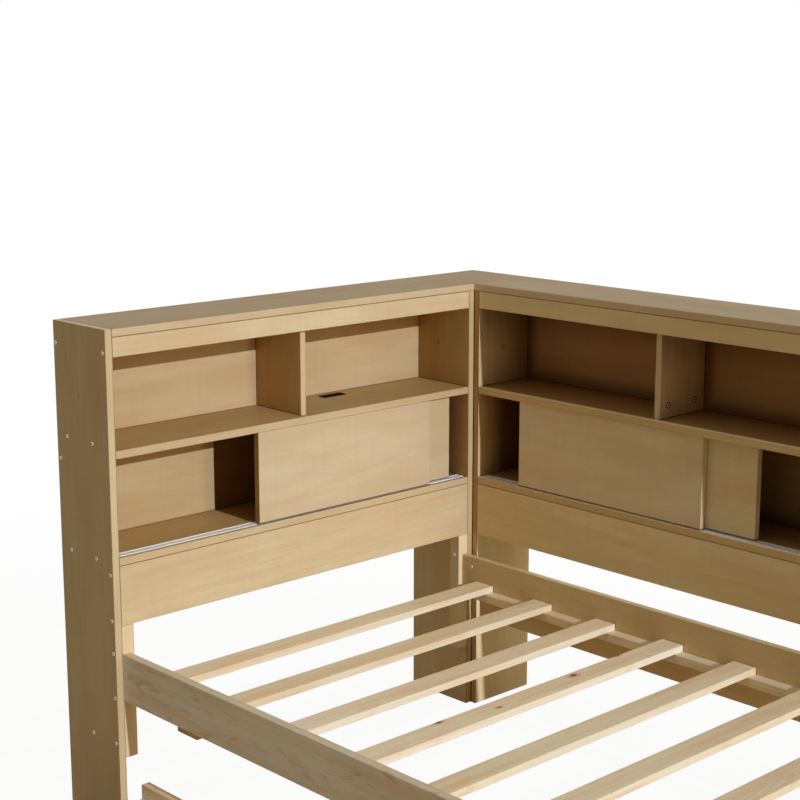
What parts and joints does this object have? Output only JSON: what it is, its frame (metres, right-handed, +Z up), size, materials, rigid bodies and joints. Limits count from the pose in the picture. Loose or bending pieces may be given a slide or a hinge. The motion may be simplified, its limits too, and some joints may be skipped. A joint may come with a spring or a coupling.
{
  "type": "trundle daybed",
  "caption": "Slatted corner daybed between a head bookcase and a side bookcase with sliding doors, with a low slatted trundle on wheels that rolls under the bed.",
  "frame": {"origin": "on the floor under the middle of the whole piece with the trundle rolled out", "axes": "+X along the bed from the head bookcase to the foot, +Y from the open front towards the side bookcase and the wall, +Z up"},
  "size_m": [2.153, 2.255, 1.083],
  "materials": {
    "birch": "clear satin lacquer over fine straight birch veneer",
    "pine": "planed solid pine with knots, matt lacquer",
    "track_plastic": "pale grey extruded sliding door track",
    "outlet_plastic": "fine satin black",
    "wheel_plastic": "moulded black nylon",
    "zinc_steel": "bright zinc plate"
  },
  "bodies": {
    "daybed": {"head_corner_panel": "birch", "head_end_panel": "birch", "head_top_board": "birch", "head_fascia": "birch", "head_back_panel": "birch", "head_lower_panel": "birch", "head_middle_shelf": "birch", "head_bottom_shelf": "birch", "head_door_track": "track_plastic", "head_divider": "birch", "power_outlet": "outlet_plastic", "head_corner_leg_cleat": "birch", "head_front_leg_cleat": "birch", "side_corner_panel": "birch", "side_end_panel": "birch", "side_top_board": "birch", "side_fascia": "birch", "side_back_panel": "birch", "side_lower_panel": "birch", "side_middle_shelf": "birch", "side_bottom_shelf": "birch", "side_door_track": "track_plastic", "side_divider": "birch", "side_upper_partition": "birch", "side_lower_partition": "birch", "front_rail": "pine", "back_rail": "birch", "front_ledger": "pine", "back_ledger": "pine", "rail_block": "birch", "slat_1": "pine", "slat_2": "pine", "slat_3": "pine", "slat_4": "pine", "slat_5": "pine", "slat_6": "pine", "slat_7": "pine", "slat_8": "pine", "slat_9": "pine", "slat_10": "pine", "foot_front_post": "pine", "foot_back_post": "pine", "foot_rail": "pine"},
    "head_front_door": {"head_front_door": "birch"},
    "head_rear_door": {"head_rear_door": "birch"},
    "side_front_door": {"side_front_door": "birch"},
    "side_rear_door": {"side_rear_door": "birch"},
    "trundle": {"trundle_front_board": "pine", "trundle_back_board": "pine", "trundle_head_board": "pine", "trundle_foot_board": "pine", "trundle_slat_deck": "pine", "trundle_head_front_axle": "zinc_steel", "trundle_head_back_axle": "zinc_steel", "trundle_foot_front_axle": "zinc_steel", "trundle_foot_back_axle": "zinc_steel"},
    "head_front_wheel": {"trundle_head_front_wheel": "wheel_plastic"},
    "head_back_wheel": {"trundle_head_back_wheel": "wheel_plastic"},
    "foot_front_wheel": {"trundle_foot_front_wheel": "wheel_plastic"},
    "foot_back_wheel": {"trundle_foot_back_wheel": "wheel_plastic"}
  },
  "joints": [
    {"name": "head_front_door_slide", "type": "slide", "parent": "daybed", "child": "head_front_door", "axis": [0, 1, 0], "range_m": [-0.376, 0.126]},
    {"name": "head_rear_door_slide", "type": "slide", "parent": "daybed", "child": "head_rear_door", "axis": [0, 1, 0], "range_m": [-0.46, 0.042]},
    {"name": "side_front_door_slide", "type": "slide", "parent": "daybed", "child": "side_front_door", "axis": [1, 0, 0], "range_m": [-0.1335, 0.3855]},
    {"name": "side_rear_door_slide", "type": "slide", "parent": "daybed", "child": "side_rear_door", "axis": [1, 0, 0], "range_m": [-0.265, 0.254]},
    {"name": "trundle_roll", "type": "slide", "parent": "daybed", "child": "trundle", "axis": [0, 1, 0], "range_m": [0, 1.01]},
    {"name": "head_front_wheel_spin", "type": "hinge", "parent": "trundle", "child": "head_front_wheel", "pos_m": [-0.7935, -1.0325, 0.03], "axis": [1, 0, 0], "continuous": true},
    {"name": "head_back_wheel_spin", "type": "hinge", "parent": "trundle", "child": "head_back_wheel", "pos_m": [-0.7935, -0.1925, 0.03], "axis": [1, 0, 0], "continuous": true},
    {"name": "foot_front_wheel_spin", "type": "hinge", "parent": "trundle", "child": "foot_front_wheel", "pos_m": [0.9685, -1.0325, 0.03], "axis": [1, 0, 0], "continuous": true},
    {"name": "foot_back_wheel_spin", "type": "hinge", "parent": "trundle", "child": "foot_back_wheel", "pos_m": [0.9685, -0.1925, 0.03], "axis": [1, 0, 0], "continuous": true}
  ],
  "couplings": [
    {"joint": "head_front_wheel_spin", "follows": "trundle_roll", "rad_per_m": -33.333},
    {"joint": "head_back_wheel_spin", "follows": "trundle_roll", "rad_per_m": -33.333},
    {"joint": "foot_front_wheel_spin", "follows": "trundle_roll", "rad_per_m": -33.333},
    {"joint": "foot_back_wheel_spin", "follows": "trundle_roll", "rad_per_m": -33.333}
  ]
}
